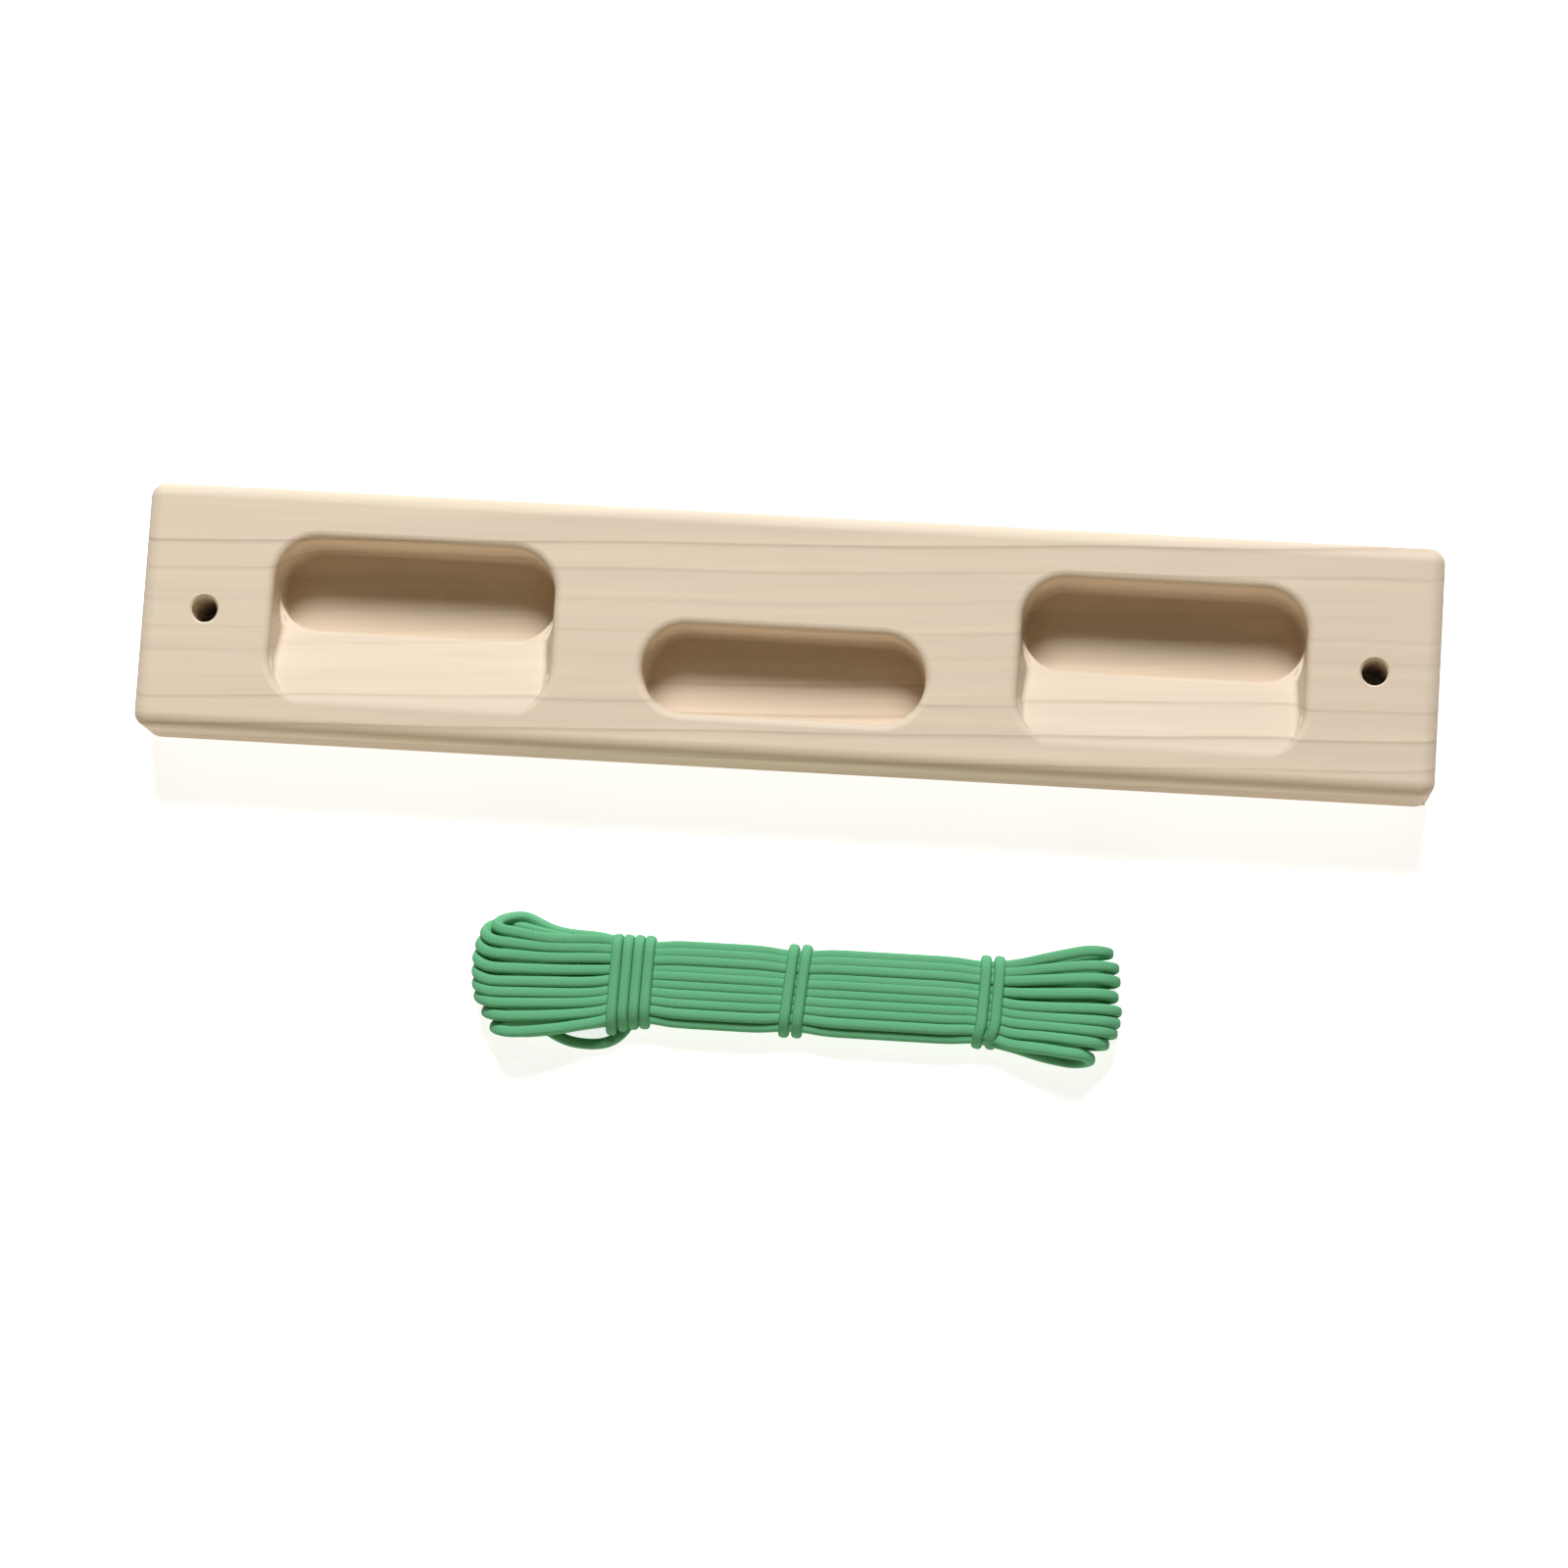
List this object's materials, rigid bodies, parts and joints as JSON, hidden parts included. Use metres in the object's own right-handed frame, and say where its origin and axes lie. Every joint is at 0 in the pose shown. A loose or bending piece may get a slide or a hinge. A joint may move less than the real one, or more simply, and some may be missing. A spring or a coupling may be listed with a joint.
{
  "type": "hangboard",
  "caption": "Portable climbing hangboard: a wooden plank with finger pockets and a drilled hole near each end, beside its hanging cord wound in a hank.",
  "frame": {"origin": "middle of the board's flat back, on the surface that the board lies on", "axes": "+X along the board, +Y towards its top edge, +Z out of its pocketed face"},
  "size_m": [0.5, 0.2084, 0.038],
  "materials": {
    "pale_wood": "sanded, unvarnished",
    "green_cord": "braided"
  },
  "bodies": {
    "board": {"board": "pale_wood"},
    "cord": {"cord_hank": "green_cord", "cord_left_winding": "green_cord", "cord_middle_winding": "green_cord", "cord_right_winding": "green_cord"}
  },
  "joints": [
    {"name": "cord_lift", "type": "slide", "parent": "board", "child": "cord", "axis": [0, 0, 1], "range_m": [0, 0.06]}
  ]
}
